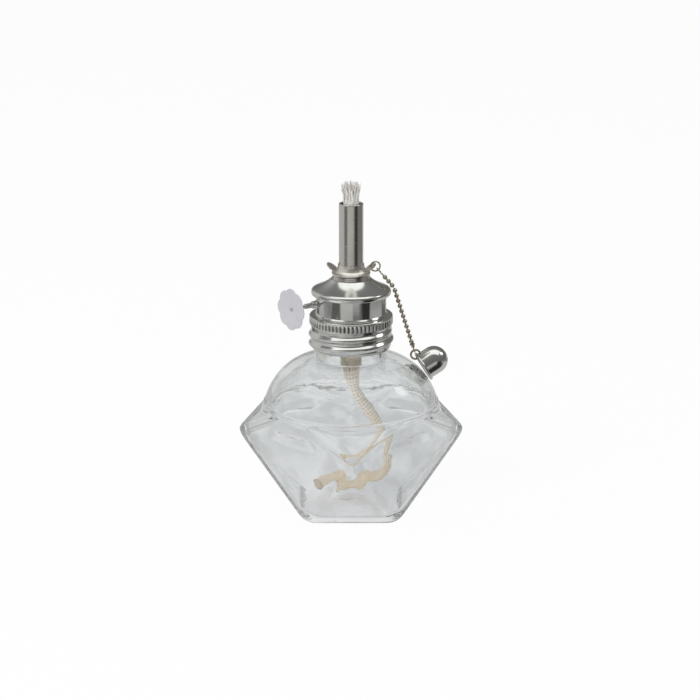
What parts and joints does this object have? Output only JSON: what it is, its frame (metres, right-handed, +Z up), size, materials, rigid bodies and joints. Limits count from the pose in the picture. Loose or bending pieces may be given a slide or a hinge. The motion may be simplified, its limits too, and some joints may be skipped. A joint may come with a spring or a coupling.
{
  "type": "spirit lamp",
  "caption": "Spirit lamp: faceted glass font with a domed top, screw burner with a geared wick raiser and sliding tube, and a snuffer cap on a ball chain.",
  "frame": {"origin": "centre of the square base, on the surface the lamp stands on", "axes": "+Z up along the lamp's axis; +X and +Y run through two of the font's side points; the thumbwheel is at -X -Y and the chain at +X"},
  "size_m": [0.0848, 0.0848, 0.1285],
  "materials": {
    "glass": "clear pressed glass",
    "gasket": "matt",
    "plated_metal": "bright nickel plate",
    "tube_metal": "satin nickel plate",
    "wire_metal": "bright wire",
    "inner_brass": "raw brass",
    "chain_metal": "worn plate over brass",
    "cotton": "woven cotton"
  },
  "bodies": {
    "font": {"glass_font": "glass"},
    "seal": {"neck_gasket": "gasket"},
    "burner": {"screw_collar": "plated_metal", "burner_housing": "plated_metal", "housing_roof": "plated_metal", "tube_socket": "tube_metal", "wick_guide": "inner_brass", "spindle_bracket": "inner_brass", "spindle_bushing": "plated_metal"},
    "raiser": {"spindle": "wire_metal", "feed_wheel_inner": "inner_brass", "feed_wheel_outer": "inner_brass", "spindle_washer": "inner_brass", "thumbwheel": "plated_metal"},
    "wick": {"wick": "cotton", "wick_tail": "cotton"},
    "tube": {"wick_tube": "tube_metal", "finger_flange": "tube_metal", "ear_ring": "chain_metal"},
    "chain_top": {"chain_clasp": "chain_metal", "chain_upper": "chain_metal"},
    "chain_run": {"chain_lower": "chain_metal", "chain_connector": "chain_metal"},
    "cap": {"cap_ring": "chain_metal", "snuffer_cap": "plated_metal"}
  },
  "joints": [
    {"name": "burner_rise", "type": "slide", "parent": "font", "child": "seal", "axis": [0, 0, 1], "range_m": [0, 0.0036]},
    {"name": "burner_turn", "type": "hinge", "parent": "seal", "child": "burner", "pos_m": [0, 0, 0.0765], "axis": [0, 0, 1], "range_deg": [0, 360]},
    {"name": "thumb_turn", "type": "hinge", "parent": "burner", "child": "raiser", "pos_m": [-0.00384, 0.00474, 0.0822], "axis": [-0.7771, -0.6293, 0], "range_deg": [-80, 158]},
    {"name": "wick_lift", "type": "slide", "parent": "burner", "child": "wick", "axis": [0, 0, 1], "range_m": [-0.004, 0.008], "deforming": ["wick_tail"]},
    {"name": "tube_slide", "type": "slide", "parent": "burner", "child": "tube", "axis": [0, 0, 1], "range_m": [0, 0.006]},
    {"name": "chain_swing", "type": "hinge", "parent": "tube", "child": "chain_top", "pos_m": [0.00905, 0.0016, 0.09566], "axis": [0.1736, -0.9848, 0], "range_deg": [0, 50]},
    {"name": "chain_bend", "type": "hinge", "parent": "chain_top", "child": "chain_run", "pos_m": [0.01605, 0.00283, 0.0872], "axis": [0.1736, -0.9848, 0], "range_deg": [0, 60]},
    {"name": "cap_swing", "type": "hinge", "parent": "chain_run", "child": "cap", "pos_m": [0.02445, 0.00431, 0.06051], "axis": [0.1736, -0.9848, 0], "range_deg": [0, 60]}
  ],
  "couplings": [
    {"joint": "burner_rise", "follows": "burner_turn", "m_per_rad": 0.000565},
    {"joint": "thumb_turn", "follows": "wick_lift", "rad_per_m": 333.33}
  ]
}
